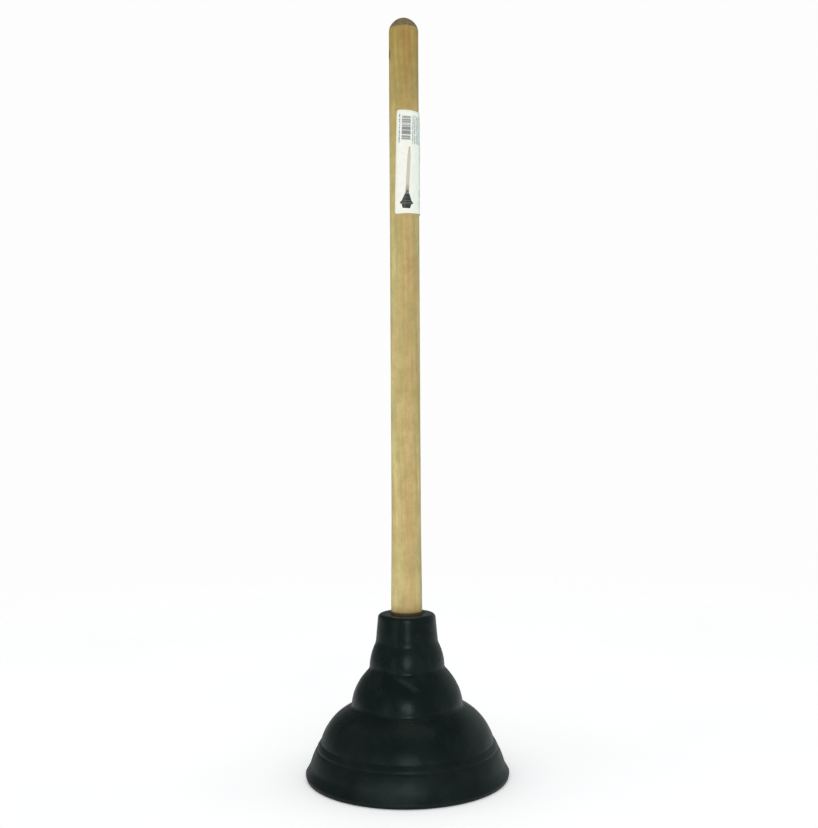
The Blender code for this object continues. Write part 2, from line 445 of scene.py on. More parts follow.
class Nodes:
    """A node tree, with one short call for each kind of node. A value may be a number or a socket."""

    def __init__(self, tree):
        self.tree = tree

    def new(self, kind):
        return self.tree.nodes.new("ShaderNode" + kind)

    def feed(self, socket, value):
        if isinstance(value, bpy.types.NodeSocket):
            self.tree.links.new(value, socket)
        elif isinstance(value, (tuple, list)) and len(value) == 3 and socket.type == "RGBA":
            socket.default_value = (*value, 1.0)
        else:
            socket.default_value = value

    def math(self, operation, a, b=0.0):
        node = self.new("Math")
        node.operation = operation
        self.feed(node.inputs[0], a)
        self.feed(node.inputs[1], b)
        return node.outputs[0]

    def add(self, a, b):
        return self.math("ADD", a, b)

    def times(self, a, b):
        return self.math("MULTIPLY", a, b)

    def product(self, *values):
        made = values[0]
        for value in values[1:]:
            made = self.times(made, value)
        return made

    def most(self, *values):
        made = values[0]
        for value in values[1:]:
            made = self.math("MAXIMUM", made, value)
        return made

    def away(self, value, middle):
        """How far a value is from the middle, on either side."""
        return self.math("ABSOLUTE", self.add(value, -middle))

    def squares(self, a, b):
        return self.add(self.times(a, a), self.times(b, b))

    def length(self, a, b):
        return self.math("SQRT", self.squares(a, b))

    def ramp(self, value, low, high, to_low=0.0, to_high=1.0, smooth=True):
        """Maps low..high to to_low..to_high, held at both ends."""
        node = self.new("MapRange")
        node.interpolation_type = "SMOOTHSTEP" if smooth else "LINEAR"
        self.feed(node.inputs["From Min"], low)
        self.feed(node.inputs["From Max"], high)
        self.feed(node.inputs["To Min"], to_low)
        self.feed(node.inputs["To Max"], to_high)
        self.feed(node.inputs["Value"], value)
        return node.outputs["Result"]

    def axes(self, place):
        node = self.new("SeparateXYZ")
        self.feed(node.inputs[0], place)
        return node.outputs[0], node.outputs[1], node.outputs[2]

    def choice(self, share, first, second):
        """One surface or background at a share of 0, and another at 1."""
        node = self.new("MixShader")
        self.feed(node.inputs[0], share)
        self.feed(node.inputs[1], first)
        self.feed(node.inputs[2], second)
        return node.outputs[0]


class Shader(Nodes):
    """A material's nodes. Its patterns are looked up at self.place, in metres, unless a call says where."""

    def __init__(self, name):
        self.material = bpy.data.materials.new(name)
        self.material.use_nodes = True
        super().__init__(self.material.node_tree)
        self.surface = self.tree.nodes["Principled BSDF"]
        self.output = self.tree.nodes["Material Output"]
        self.place = self.attribute("rest").outputs["Vector"]

    def attribute(self, name):
        node = self.new("Attribute")
        node.attribute_name = name
        return node

    def mix(self, share, a, b):
        node = self.new("Mix")
        node.data_type = "RGBA"
        self.feed(node.inputs[0], share)
        self.feed(node.inputs[6], a)
        self.feed(node.inputs[7], b)
        return node.outputs[2]

    def tint(self, share, colour, by):
        """The colour multiplied by another, to this share, which keeps the grain under it."""
        made = self.mix(share, colour, by)
        made.node.blend_type = "MULTIPLY"
        return made

    def vector(self, operation, place, by):
        node = self.new("VectorMath")
        node.operation = operation
        self.feed(node.inputs[0], place)
        self.feed(node.inputs[1], by)
        return node.outputs["Vector"]

    def noise(self, scale, detail, roughness, place=None):
        """Cloudy noise about 0.5, with this many features in a metre."""
        node = self.new("TexNoise")
        node.inputs["Scale"].default_value = scale
        node.inputs["Detail"].default_value = detail
        node.inputs["Roughness"].default_value = roughness
        self.feed(node.inputs["Vector"], place or self.place)
        return node.outputs["Fac"]

    def grain(self, scales, detail, roughness, offset=None):
        """Noise with its own number of features in a metre along each axis."""
        place = self.vector("ADD", self.place, offset) if offset else self.place
        return self.noise(1.0, detail, roughness, self.vector("MULTIPLY", place, scales))

    def cells(self, scales):
        """The distance to the nearest of many scattered points, in cells."""
        node = self.new("TexVoronoi")
        node.inputs["Scale"].default_value = 1.0
        self.feed(node.inputs["Vector"], self.vector("MULTIPLY", self.place, scales))
        return node.outputs["Distance"]

    def ellipse(self, a, b, middle, half_size):
        """0 in the middle, 1 on an ellipse of this half size, and more outside."""
        first = self.times(self.add(a, -middle[0]), 1 / half_size[0])
        second = self.times(self.add(b, -middle[1]), 1 / half_size[1])
        return self.squares(first, second)

    def bump(self, height, distance, strength, over=None):
        node = self.new("Bump")
        node.inputs["Strength"].default_value = strength
        node.inputs["Distance"].default_value = distance
        self.feed(node.inputs["Height"], height)
        if over:
            self.feed(node.inputs["Normal"], over)
        return node.outputs["Normal"]

    def finish(self, **inputs):
        for name, value in inputs.items():
            self.feed(self.surface.inputs[name.replace("_", " ")], value)
        return self.material


# ---- rubber


def rubber_material(name, dust_and_highlight_share, polish, collar_top):
    """Moulded black rubber with a green cast, with a share of pale dust and painted rim highlight, and a
    roughness (polish).
    """
    s = Shader(name)
    x, y, z = s.axes(s.place)
    patches = s.noise(38.0, 4.0, 0.6)
    fine = s.noise(650.0, 3.0, 0.6)
    colour = s.mix(s.ramp(patches, 0.3, 0.75), RUBBER_DARK, RUBBER_PALE)
    dust_and_highlights = s.product(s.ramp(s.noise(75.0, 5.0, 0.65), 0.45, 0.80), s.ramp(fine, 0.35, 0.75), dust_and_highlight_share)

    # A highlight is painted pale grey on the rim at the front, and a highlight is painted pale along the
    # fold.
    from_rim_highlight = s.ellipse(x, z, RIM_HIGHLIGHT_MIDDLE, RIM_HIGHLIGHT_HALF_SIZE)
    in_front = s.ramp(y, -20 * MM, 0.0, 1.0, 0.0)
    painted_rim_highlight = s.product(s.ramp(from_rim_highlight, 0.0, 1.0, dust_and_highlight_share, 0.0), in_front, 1.4)
    painted_fold_highlight = s.times(s.ramp(s.attribute("fold").outputs["Fac"], 0.30, 1.0), 0.34)
    dust_and_highlights = s.add(dust_and_highlights, s.times(s.add(painted_rim_highlight, painted_fold_highlight), s.ramp(fine, 0.25, 0.70, 0.5, 1.0)))
    colour = s.mix(dust_and_highlights, colour, PALE_DUST_AND_HIGHLIGHT)

    # The skirt rubs on floors and bowls, so it has lost more gloss than the tiers. The collar's end is matt.
    rubbed_skirt = s.ramp(z, 12 * MM, 50 * MM, 0.10, 0.0)
    matt_end = s.ramp(z, collar_top - 1.2 * MM, collar_top, 0.0, 0.06)
    rubbed = s.add(rubbed_skirt, matt_end)
    uneven = s.ramp(patches, 0.25, 0.8, polish, polish + 0.10)
    roughness = s.add(uneven, s.add(s.times(dust_and_highlights, 0.35), rubbed))

    # The skin flows a little unevenly in the mould, which breaks up the highlights, and is finely grained.
    skin = None
    for scale, detail, rough, depth, strength in RUBBER_RELIEF:
        skin = s.bump(s.noise(scale, detail, rough), depth, strength, over=skin)
    s.finish(Base_Color=colour, Roughness=roughness, Normal=skin)
    return s.finish(IOR=1.5, Specular_Tint=RUBBER_SHEEN)


# ---- wood


def growth_rings(s, x, y, z):
    """Late wood of rings round the pith, 0 to 1, faint in places."""
    stretched = s.vector("MULTIPLY", s.place, (1.0, 1.0, 0.30))
    wander = s.times(s.add(s.noise(11.0, 3.0, 0.6, stretched), -0.5), PITH_WANDER)
    ring_x = s.add(s.add(x, s.times(z, -PITH_LEAN[0])), s.add(wander, -PITH[0]))
    ring_y = s.add(s.add(y, s.times(z, -PITH_LEAN[1])), -PITH[1])
    phase = s.math("FRACT", s.times(s.length(ring_x, ring_y), 1 / RING_WIDTH))
    late = s.times(s.ramp(phase, 0.15, 0.88), s.ramp(phase, 0.88, 1.0, 1.0, 0.0))
    return s.times(late, s.ramp(s.grain((70.0, 70.0, 9.0), 2.0, 0.5), 0.38, 0.62))


def clean_wood(s, x, late_wood, fibres, pores, radius):
    """Pale golden hardwood with soft rings, fibres, flecks and pores."""
    clouds = s.grain((75.0, 75.0, 26.0), 4.0, 0.6)
    warmth = s.grain((110.0, 110.0, 17.0), 3.0, 0.6, offset=(3.1, 1.7, 0.6))
    figure = s.grain((100.0, 100.0, 80.0), 4.0, 0.7, offset=(0.9, 4.2, 2.3))
    flecks = s.ramp(s.cells((520.0, 520.0, 210.0)), 0.10, 0.28, 1.0, 0.0)

    colour = s.mix(s.ramp(clouds, 0.34, 0.66), WOOD_OLIVE, WOOD_GOLD)
    # A warmer band runs down the front and the back, and paler and browner patches lie over it.
    band = s.ramp(s.away(x, WARM_BAND), 1.0 * MM, 6.5 * MM, 0.42, 0.0)
    colour = s.mix(s.add(band, s.ramp(warmth, 0.46, 0.64, 0.0, 0.38)), colour, WOOD_ORANGE)
    colour = s.tint(1.0, colour, s.mix(s.ramp(figure, 0.34, 0.68), PALE_PATCH, BROWN_PATCH))
    colour = s.mix(s.times(late_wood, 0.40), colour, LATE_WOOD)
    colour = s.mix(s.ramp(fibres, 0.38, 0.78, 0.0, 0.30), colour, WOOD_FIBRE)
    colour = s.mix(s.times(flecks, 0.22), colour, WOOD_FLECK)
    colour = s.mix(s.times(pores, 0.42), colour, WOOD_PORE)
    # The left side is paler and leans to green, and the right side is a little darker.
    colour = s.tint(s.ramp(x, -radius, 0.0, 1.0, 0.0), colour, LEFT_SIDE)
    return s.tint(s.ramp(x, 0.0, radius), colour, RIGHT_SIDE)


def scar_mark(s, x, y, z, handle_top):
    """The dark scar on the left, just below the top, torn along the grain: 0 to 1."""
    middle = (handle_top - SCAR_BELOW_TOP, SCAR_ASIDE)
    torn = s.times(s.add(s.grain((1100.0, 1100.0, 160.0), 4.0, 0.7), -0.5), 2.4)
    from_scar = s.add(s.ellipse(z, y, middle, SCAR_HALF_SIZE), torn)
    on_left = s.ramp(x, -7 * MM, -6 * MM, 1.0, 0.0)
    return s.times(s.ramp(from_scar, 0.1, 1.0, 1.0, 0.0), on_left)


def wood_material(handle_top, cup_top, radius):
    """The handle's wood, darker towards the top, with painted shade on its domed end and a dark band at the
    collar.
    """
    s = Shader("handle_wood")
    x, y, z = s.axes(s.place)
    late_wood = growth_rings(s, x, y, z)
    fibres = s.grain((900.0, 900.0, 22.0), 4.0, 0.6)
    threads = s.grain((2600.0, 2600.0, 90.0), 3.0, 0.6)
    pores = s.times(s.ramp(threads, 0.62, 0.74), s.ramp(fibres, 0.42, 0.62))
    colour = clean_wood(s, x, late_wood, fibres, pores, radius)

    # The upper end is darker and browner, partly as painted shade where the light falls off towards the top
    # and partly in the wood's own tone: a little from the middle up, and strongly above the label.
    gently = s.ramp(z, cup_top + 40 * MM, handle_top - 200 * MM, 0.0, 0.09)
    strongly = s.ramp(z, handle_top - 112 * MM, handle_top - 12 * MM, 0.0, 0.72)
    colour = s.tint(s.add(gently, strongly), colour, TOP_SHADE_AND_TONE)

    # Shade is painted in ragged blotches on the dome, where it turns away from the light, and the wood is
    # stained where it meets the collar.
    blotches = s.noise(330.0, 4.0, 0.65)
    ragged = s.add(blotches, -0.5)
    end_height = s.add(z, s.times(ragged, 3.0 * MM))
    shaded_end_grain = s.ramp(end_height, handle_top - 11.0 * MM, handle_top - 7.8 * MM)
    colour = s.mix(s.times(shaded_end_grain, s.ramp(blotches, 0.38, 0.66, 0.50, 0.95)), colour, DOME_SHADE)
    damp = s.times(s.ramp(z, cup_top, cup_top + 9 * MM, 1.0, 0.0), s.ramp(blotches, 0.3, 0.7, 0.30, 0.80))
    colour = s.mix(damp, colour, DAMP_WOOD)
    # A narrow dark band is drawn on the wood just above the collar.
    collar_band_height = s.add(z, s.times(ragged, 1.0 * MM))
    collar_band = s.ramp(collar_band_height, cup_top + 1.0 * MM, cup_top + 3.0 * MM, 0.90, 0.0)
    colour = s.mix(collar_band, colour, COLLAR_BAND)

    # The turned edge below the dome is worn pale.
    edge = between(s, z, (handle_top - 9.9 * MM, handle_top - 8.7 * MM), 0.5 * MM)
    colour = s.mix(s.product(edge, s.ramp(blotches, 0.35, 0.60), 0.38), colour, WORN_EDGE)
    scar = scar_mark(s, x, y, z, handle_top)
    colour = s.mix(s.times(scar, 0.85), colour, SCAR)

    roughness = s.add(s.ramp(fibres, 0.3, 0.8, 0.44, 0.60), s.times(shaded_end_grain, 0.2))
    relief = s.add(s.times(fibres, 0.6), s.add(s.times(late_wood, 0.25), s.times(pores, -1.2)))
    relief = s.add(relief, s.times(scar, -3.0))
    s.finish(Base_Color=colour, Roughness=roughness, Normal=s.bump(relief, 0.07 * MM, 0.7))
    return s.finish(Coat_Weight=0.10, Coat_Roughness=0.40)


# ---- paper


def between(s, value, span, blur):
    """1 inside the span, with blurred edges."""
    low, high = span
    return s.times(s.ramp(value, low - blur, low + blur), s.ramp(value, high - blur, high + blur, 1.0, 0.0))


def tapered_mark(s, across, up, part):
    """One part of the picture, with straight sides."""
    low, low_half, high, high_half = part
    blur = 2 * PRINT_BLUR
    half = s.ramp(up, low, high, low_half, high_half, smooth=False)
    past_edge = s.add(s.away(across, PICTURE_MIDDLE), s.times(half, -1.0))
    return s.times(s.ramp(past_edge, -blur, blur, 1.0, 0.0), between(s, up, (low, high), blur))


def ladder(s, value, step, share):
    """1 on bars of one step's width, at random, that leave about this share of the value's range bare."""
    rung = s.new("TexWhiteNoise")
    rung.noise_dimensions = "1D"
    s.feed(rung.inputs["W"], s.math("FLOOR", s.times(value, 1 / step)))
    return s.math("GREATER_THAN", rung.outputs["Value"], share)


def paper(s, across, up, mottle):
    """Bare white paper, cooler round to the right, with yellowed edges."""
    colour = s.mix(s.ramp(mottle, 0.3, 0.7), PAPER_CREAM, PAPER_WHITE)
    colour = s.tint(s.ramp(across, 8.0 * MM, LABEL_FOLD), colour, PAPER_COOLED)
    side = s.math("MINIMUM", across, s.add(LABEL_WIDTH, s.times(across, -1.0)))
    end = s.math("MINIMUM", up, s.add(LABEL_HEIGHT, s.times(up, -1.0)))
    edge = s.math("MINIMUM", side, end)
    return s.mix(s.ramp(edge, 0.0, 1.8 * MM, 0.40, 0.0), colour, PAPER_YELLOWED)


def printed_bars(s, across, up):
    """Bars across the handle, stacked along it: fine ones, and wide ones on top that crowd in the middle."""
    from_densest = s.away(up, BARS_DENSEST)
    fine = ladder(s, up, FINE_BAR, 0.35)
    wide = ladder(s, up, WIDE_BAR, s.ramp(from_densest, 1.8 * MM, 3.4 * MM, 0.25, 0.50))
    wide_ink = s.ramp(from_densest, 2.0 * MM, 5.0 * MM, 0.76, 0.70)
    bars = s.most(s.times(fine, 0.68), s.times(wide, wide_ink))
    return s.product(bars, between(s, up, BARS_UP, PRINT_BLUR), between(s, across, BARS_ACROSS, PRINT_BLUR))


def printed_rules(s, across, up):
    """Plain broken rules along the handle, on both sides of the bars."""
    row = s.math("FRACT", s.times(across, 1 / RULE_SPACING))
    dash = s.ramp(s.grain((600.0, 600.0, 1300.0), 2.0, 0.5), 0.36, 0.44)
    beside = s.most(between(s, across, LEFT_RULE, PRINT_BLUR), between(s, across, RIGHT_RULES, PRINT_BLUR))
    return s.product(between(s, row, RULE_SHARES, 0.05), dash, beside, between(s, up, RULES_UP, PRINT_BLUR))


def label_material():
    """White coated paper with a ladder of plain bars, grey rules in place of words, and a small picture."""
    s = Shader("label_paper")
    sheet = s.new("UVMap")
    sheet.uv_map = "sheet"
    u, v, _ = s.axes(sheet.outputs["UV"])
    across, up = s.times(u, LABEL_WIDTH), s.times(v, LABEL_HEIGHT)

    mottle = s.noise(260.0, 4.0, 0.6)
    colour = paper(s, across, up, mottle)
    bars = printed_bars(s, across, up)
    colour = s.mix(bars, colour, BAR_INK)
    rules = printed_rules(s, across, up)
    colour = s.mix(s.times(rules, s.ramp(across, 3.0 * MM, 11.0 * MM, 0.95, 0.90)), colour, RULE_INK)

    # The picture: a pale handle, darker at both ends, and a dark tiered cup with its flange out.
    leaning = s.add(across, s.times(s.add(up, -PICTURE_FOOT), -PICTURE_LEAN))
    stick = s.most(tapered_mark(s, leaning, up, PICTURED_STICK), tapered_mark(s, leaning, up, PICTURED_TIP))
    colour = s.mix(s.times(stick, 0.85), colour, STICK_INK)
    dark_tip = s.ramp(up, 44.0 * MM, 45.0 * MM, 0.0, 0.25)
    dark_foot = s.ramp(up, 17.0 * MM, 24.0 * MM, 0.55, 0.0)
    colour = s.mix(s.product(stick, s.most(dark_tip, dark_foot), 0.85), colour, STICK_END_INK)
    cup = s.most(*(tapered_mark(s, leaning, up, part) for part in PICTURED_CUP))
    sheen = s.ramp(s.away(across, PICTURE_MIDDLE - 1.6 * MM), 0.3 * MM, 1.4 * MM, 0.45, 0.0)
    cup_ink = s.mix(sheen, CUP_INK, CUP_SHEEN_INK)
    colour = s.mix(s.times(cup, s.ramp(up, 13.5 * MM, 18.0 * MM, 0.96, 0.50)), colour, cup_ink)

    # A grey line of painted shade lies along the fold where the sheet leaves the wood, mottled and stronger
    # low down.
    fold_line = s.ramp(s.away(across, LABEL_FOLD), 0.2 * MM, 1.1 * MM, 1.0, 0.0)
    fold_mottle = s.ramp(s.grain((300.0, 300.0, 160.0), 3.0, 0.6), 0.30, 0.62)
    painted_fold_shade = s.product(fold_line, fold_mottle, s.ramp(up, 14.0 * MM, 32.0 * MM, 0.95, 0.60))
    colour = s.mix(painted_fold_shade, colour, FOLD_SHADE)

    ink = s.most(cup, bars, stick)
    roughness = s.add(s.ramp(mottle, 0.3, 0.7, 0.30, 0.40), s.times(ink, 0.08))
    normal = s.bump(s.noise(140.0, 3.0, 0.5), 0.15 * MM, 0.4)
    s.finish(Base_Color=colour, Roughness=roughness, Normal=normal)
    return s.finish(Coat_Weight=0.2, Coat_Roughness=0.25)


# ---- cup


def tier_points(cup_radius, cup_height):
    """Each tier's arc from its lower edge up, with normals, and the collar's straight side last."""
    edges = [(share_r * cup_radius, share_h * cup_height) for share_r, share_h, _ in TIERS]
    edges.append((COLLAR_RADIUS_SHARE * cup_radius, cup_height - COLLAR_ROUNDING))
    bulges = [bulge * cup_radius for _, _, bulge in TIERS]
    return [arc(a, b, bulge, TIER_STEPS if bulge else 1) for a, b, bulge in zip(edges, edges[1:], bulges)]


def moulded_angles():
    """Even columns, with extra ones round the two parting lines at the sides."""
    angles = even_angles(RUBBER_COLUMNS)
    for side in (0.0, math.pi):
        angles += [(side + sign * step) % (2 * math.pi) for step in PARTING_COLUMNS for sign in (-1, 1)]
    return sorted(set(angles))


def parting_ridge(angle):
    """1 on the mould's parting line, down to 0 beside it."""
    return 1.0 - ease(abs(math.sin(angle)), PARTING_TOP, PARTING_FOOT)


def cavity_outline(tiers, cup_radius):
    """From the cavity's roof on the axis, one wall inside the tiers, down to the rim's inner edge."""
    wall = []
    for tier in reversed(tiers[1:4]):
        wall += [(p[0] - WALL * n[0], p[1] - WALL * n[1]) for p, n in reversed(tier)]
    top_radius, top_height = wall[0]
    roof = [(top_radius * share, top_height + ROOF_RISE * (1 - share**2)) for share in ROOF_SHARES]
    rim_edge = (cup_radius - WALL, RIM_INNER_BEVEL[1])
    return [(0.0, roof[0][1]), *eased([*roof, *wall, rim_edge], *CAVITY_FINISH)]


def rim_outline(cup_radius):
    """The flat ring that the cup stands on, and the foot of its rounded outer edge."""
    return [
        (cup_radius - WALL + RIM_INNER_BEVEL[0], 0.0),
        (cup_radius - RIM_OUTER_ROUNDING, 0.0),
        (cup_radius - RIM_OUTER_ROUNDING / 3, RIM_OUTER_RISE),
    ]


def skin_outline(tiers, cup_radius, cup_height, mouth_radius):
    """From the rim's outer edge up over the tiers and the collar to just inside the socket's mouth."""
    points = [point for tier in tiers[:-1] for point, _ in tier[:-1]]
    points += [point for point, _ in tiers[-1]]
    collar_edge = (COLLAR_RADIUS_SHARE * cup_radius - COLLAR_ROUNDING, cup_height)
    rounding = arc(points[-1], collar_edge, COLLAR_ROUNDING * QUARTER_BULGE, COLLAR_EDGE_STEPS)
    points += [point for point, _ in rounding][1:]
    points.append((mouth_radius + SOCKET_MOUTH_EDGE, cup_height))
    points.append((mouth_radius, cup_height - SOCKET_MOUTH_EDGE))
    return eased(points, *SKIN_FINISH)


def socket_outline(mouth_radius, middle, cup_height, floor_height):
    """Down the threaded socket to its floor on the axis."""
    low, high = thread_span(cup_height)
    points = [(mouth_radius, high + THREAD_RUN_OUT)]
    points += [(middle, high - (high - low) * row / THREAD_ROWS) for row in range(THREAD_ROWS + 1)]
    points += [(middle, floor_height + SOCKET_CORNER), (middle - SOCKET_CORNER, floor_height)]
    points += [(middle / 2, floor_height), (0.0, floor_height)]
    return points


def settled(radius, height, angle, cup_radius, cup_height):
    """Where a point of a true turned shape ends up in the moulding."""
    lobes = OVAL * math.cos(2 * (angle - 0.7)) + LOBES * math.cos(3 * angle + 1.1)
    above_rim = ease(height, 3 * MM, 22 * MM)
    below_collar = 1.0 - ease(height, 0.70 * cup_height, 0.86 * cup_height)
    off_axis = ease(radius, 2 * MM, 14 * MM)
    askew = TIERS_RISEN * (1.0 - ease(height, 0.46 * cup_height, 0.64 * cup_height))
    askew += TIERS_TILTED * math.cos(angle) + TIERS_SADDLED * math.sin(2 * angle)
    askew += TIERS_RIPPLED * math.sin(3 * angle - 40 * height)
    reach = radius * (1.0 + lobes * radius / cup_radius)
    return reach, height + above_rim * below_collar * off_axis * askew


def bead(height):
    """The radius that the narrow bead adds, and its two grooves take away, at a height."""
    from_middle = abs(height - BEAD_MIDDLE)
    groove = math.exp(-(((from_middle - BEAD_HALF_WIDTH) / GROOVE_WIDTH) ** 2))
    crown = 1.0 - ease(from_middle, 0.5 * BEAD_HALF_WIDTH, BEAD_HALF_WIDTH)
    return BEAD_HEIGHT * crown - GROOVE_DEPTH * groove


def fold(height, angle):
    """The shallow fold across the second tier, 0 to 1."""
    turn = (angle - FRONT + math.pi) % (2 * math.pi) - math.pi
    along = (turn - FOLD_START[0]) / (FOLD_END[0] - FOLD_START[0])
    middle = FOLD_START[1] + (FOLD_END[1] - FOLD_START[1]) * max(0.0, along) ** FOLD_CURVE
    fade = ease(along, -0.20, 0.60) * (1.0 - ease(along, 0.75, 1.20))
    return fade * math.exp(-(((height - middle) / FOLD_HALF_WIDTH) ** 2))


def mark_fold(cup):
    """Stores how far each vertex is on the fold, where a highlight is painted pale on the rubber."""
    marks = cup.data.attributes.new("fold", "FLOAT", "POINT")
    marks.data.foreach_set("value", [fold(v.co.z, math.atan2(v.co.y, v.co.x)) for v in cup.data.vertices])


def cup_piece(size, material):
    """One closed skin: the cavity, the rim's ring, the tiers and the collar outside, and the socket."""
    cup_radius, cup_height, socket_floor = size["cup_radius"], size["cup_height"], size["socket_floor"]
    tiers = tier_points(cup_radius, cup_height)
    mouth = size["flare_radius"] + SOCKET_GAP
    middle = size["shaft_radius"] - THREAD_DEPTH / 2 + SOCKET_GAP
    cavity = cavity_outline(tiers, cup_radius)
    skin = skin_outline(tiers, cup_radius, cup_height, mouth)
    socket = socket_outline(mouth, middle, cup_height, socket_floor)
    low, high = thread_span(cup_height)
    outside = set(skin)

    def shape(radius, height, angle):
        if height >= socket_floor and radius <= mouth:
            return radius + thread_shift(angle, height, low, high), height
        reach, level = settled(radius, height, angle, cup_radius, cup_height)
        if (radius, height) in outside:
            reach += PARTING_HEIGHT * parting_ridge(angle) + bead(height) + FOLD_HEIGHT * fold(height, angle)
        return reach, level

    mesh = lathe([*cavity, *rim_outline(cup_radius), *skin, *socket], moulded_angles(), shape)
    cup = new_piece("rubber_cup", mesh, material)
    mark_fold(cup)
    start, end = (0, 0, COLLAPSE_START * cup_height), (0, 0, COLLAPSE_END * cup_height)
    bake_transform(cup)
    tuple(start)
    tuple(end)
    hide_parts("force_cup")


# ---- flange


def flange_outline(web_low, edge, lip_height):
    """Round the flange's section, from the middle of its web's underside and back to it."""
    web_high = web_low + FLANGE_WALL
    outer, inner = HEEL_RADIUS + FLANGE_WALL / 2, HEEL_RADIUS - FLANGE_WALL / 2
    neck_half, neck_height = LIP_NECK[0], lip_height - LIP_NECK[1]
    bead_half, bead_height = LIP_BEAD[0], lip_height - LIP_BEAD[1]
    bead_sides = (LIP_RADIUS + bead_half, bead_height), (LIP_RADIUS - bead_half, bead_height)
    lip_bead = [point for point, _ in arc(*bead_sides, LIP_BEAD_BULGE, LIP_BEAD_STEPS)]
    middle = ((HEEL_RADIUS + edge) / 2, web_low)
    loop = [
        middle,
        (edge, web_low),
        (edge - FLANGE_EDGE_TAPER, web_high),
        (outer + FLANGE_FILLET, web_high),
        (outer, web_high + FLANGE_FILLET),
        (LIP_RADIUS + neck_half, neck_height),
        *lip_bead,
        (LIP_RADIUS - neck_half, neck_height),
        (inner, web_high),
        (inner + HEEL_BEVEL[0], web_low + HEEL_BEVEL[1]),
        (inner + HEEL_ROUNDING, web_low),
        middle,
    ]
    return eased(loop, *FLANGE_FINISH)[:-1]


def flange_piece(size, material):
    """The flange, whose web runs into the skirt, as it does in one moulding."""
    low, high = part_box("fold_out_flange")
    web_high = low.z + FLANGE_WALL
    lip_height = high.z - LIP_BELOW_CAD
    loop = flange_outline(low.z, high.x + FLANGE_OVERLAP, lip_height)

    def shape(radius, height, angle):
        reach, _ = settled(radius, height, angle, size["cup_radius"], size["cup_height"])
        loose = ease(height, web_high, lip_height)
        return reach, height + LIP_WAVE * loose * math.sin(2 * angle + 0.9)

    mesh = lathe(loop, even_angles(RUBBER_COLUMNS), shape, closed=True)
    flange = new_piece("rubber_flange", mesh, material)
    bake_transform(flange)
    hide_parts("fold_out_flange")


# ---- handle


def handle_outline(size):
    """From the chamfered tip up the thread and the shaft, and over the dome to the axis."""
    tip, top, collar = size["handle_tip"], size["handle_top"], size["cup_height"]
    shaft, flare = size["shaft_radius"], size["flare_radius"]
    low, high = thread_span(collar)
    middle = shaft - THREAD_DEPTH / 2
    outline = [(0.0, tip), (middle - TIP_CHAMFER, tip), (middle, tip + TIP_CHAMFER)]
    outline += [(middle, low + (high - low) * row / THREAD_ROWS) for row in range(THREAD_ROWS + 1)]
    outline.append((flare, high + THREAD_RUN_OUT))
    dome_foot = top - DOME_HEIGHT
    for row in range(HANDLE_ROWS + 1):
        height = collar + (dome_foot - collar) * row / HANDLE_ROWS
        outline.append((flare + (shaft - flare) * ease(height, collar, collar + SWELL_LENGTH), height))
    for row in range(1, DOME_ROWS):
        turn = math.pi / 2 * row / DOME_ROWS
        reach, rise = (math.pow(value, 2 / DOME_POWER) for value in (math.cos(turn), math.sin(turn)))
        outline.append((shaft * reach, dome_foot + DOME_HEIGHT * rise))
    outline.append((0.0, top))
    return outline


def handle_piece(size, material):
    """A turned dowel with a rounded thread, whose surface isn't quite even above the collar."""
    collar = size["cup_height"]
    low, high = thread_span(collar)

    def shape(radius, height, angle):
        reach = radius + thread_shift(angle, height, low, high) if height < high else radius
        around = (math.cos(angle) * UNEVEN_ROUND, math.sin(angle) * UNEVEN_ROUND)
        uneven = noise.noise(Vector((*around, height * UNEVEN_ALONG)))
        return reach + UNEVENNESS * uneven * ease(height, high, collar), height

    mesh = lathe(handle_outline(size), even_angles(HANDLE_COLUMNS), shape)
    handle = new_piece("wooden_handle", mesh, material)
    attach(handle, "handle")
    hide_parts("handle")


# ---- label


def label_inset(across):
    """How much shorter the label is near its sides, because its corners are round."""
    reach = min(across, LABEL_WIDTH - across)
    if reach >= LABEL_CORNER:
        return 0.0
    return LABEL_CORNER - math.sqrt(max(0.0, LABEL_CORNER**2 - (LABEL_CORNER - reach) ** 2))


def label_tent(across):
    """How far the label stands off the wood, as a share of its lift."""
    share = across / LABEL_WIDTH
    return ease(share, *LABEL_LIFTING) * (1.0 - LABEL_RETURNED * ease(share, *LABEL_RETURNING))


def on_handle(across, up, stand_off, shaft_radius, middle_height):
    """A point of the slanted flat sheet, measured from its left edge and its middle, laid on the handle."""
    from_middle = across - LABEL_WIDTH / 2
    slanted = from_middle * math.cos(LABEL_SLANT) + up * math.sin(LABEL_SLANT)
    height = up * math.cos(LABEL_SLANT) - from_middle * math.sin(LABEL_SLANT)
    angle = FRONT + LABEL_LEFT_EDGE + (slanted + LABEL_WIDTH / 2) / shaft_radius
    reach = shaft_radius + stand_off
    return (reach * math.cos(angle), reach * math.sin(angle), middle_height + height)


def label_side(mesh, place, size, stand_off):
    """A grid of vertices for one side of the sheet. place takes where each one is on the flat sheet."""
    grid = []
    for column in range(LABEL_COLUMNS + 1):
        across = LABEL_WIDTH * (0.5 - 0.5 * math.cos(math.pi * column / LABEL_COLUMNS))
        inset = label_inset(across)
        low, high = inset + LABEL_SKEW * across - LABEL_HEIGHT / 2, LABEL_HEIGHT / 2 - inset
        lift = LABEL_LIFT * label_tent(across)
        line = []
        for row in range(LABEL_ROWS + 1):
            up = low + (high - low) * row / LABEL_ROWS
            wave = 0.8 + 0.2 * math.sin(up * 95 + 0.6) + 0.12 * math.sin(up * 260)
            off_wood = stand_off + lift * wave
            point = on_handle(across, up, off_wood, size["shaft_radius"], size["label_middle"])
            vertex = mesh.verts.new(point)
            place[vertex] = (across / LABEL_WIDTH, up / LABEL_HEIGHT + 0.5)
            line.append(vertex)
        grid.append(line)
    return grid


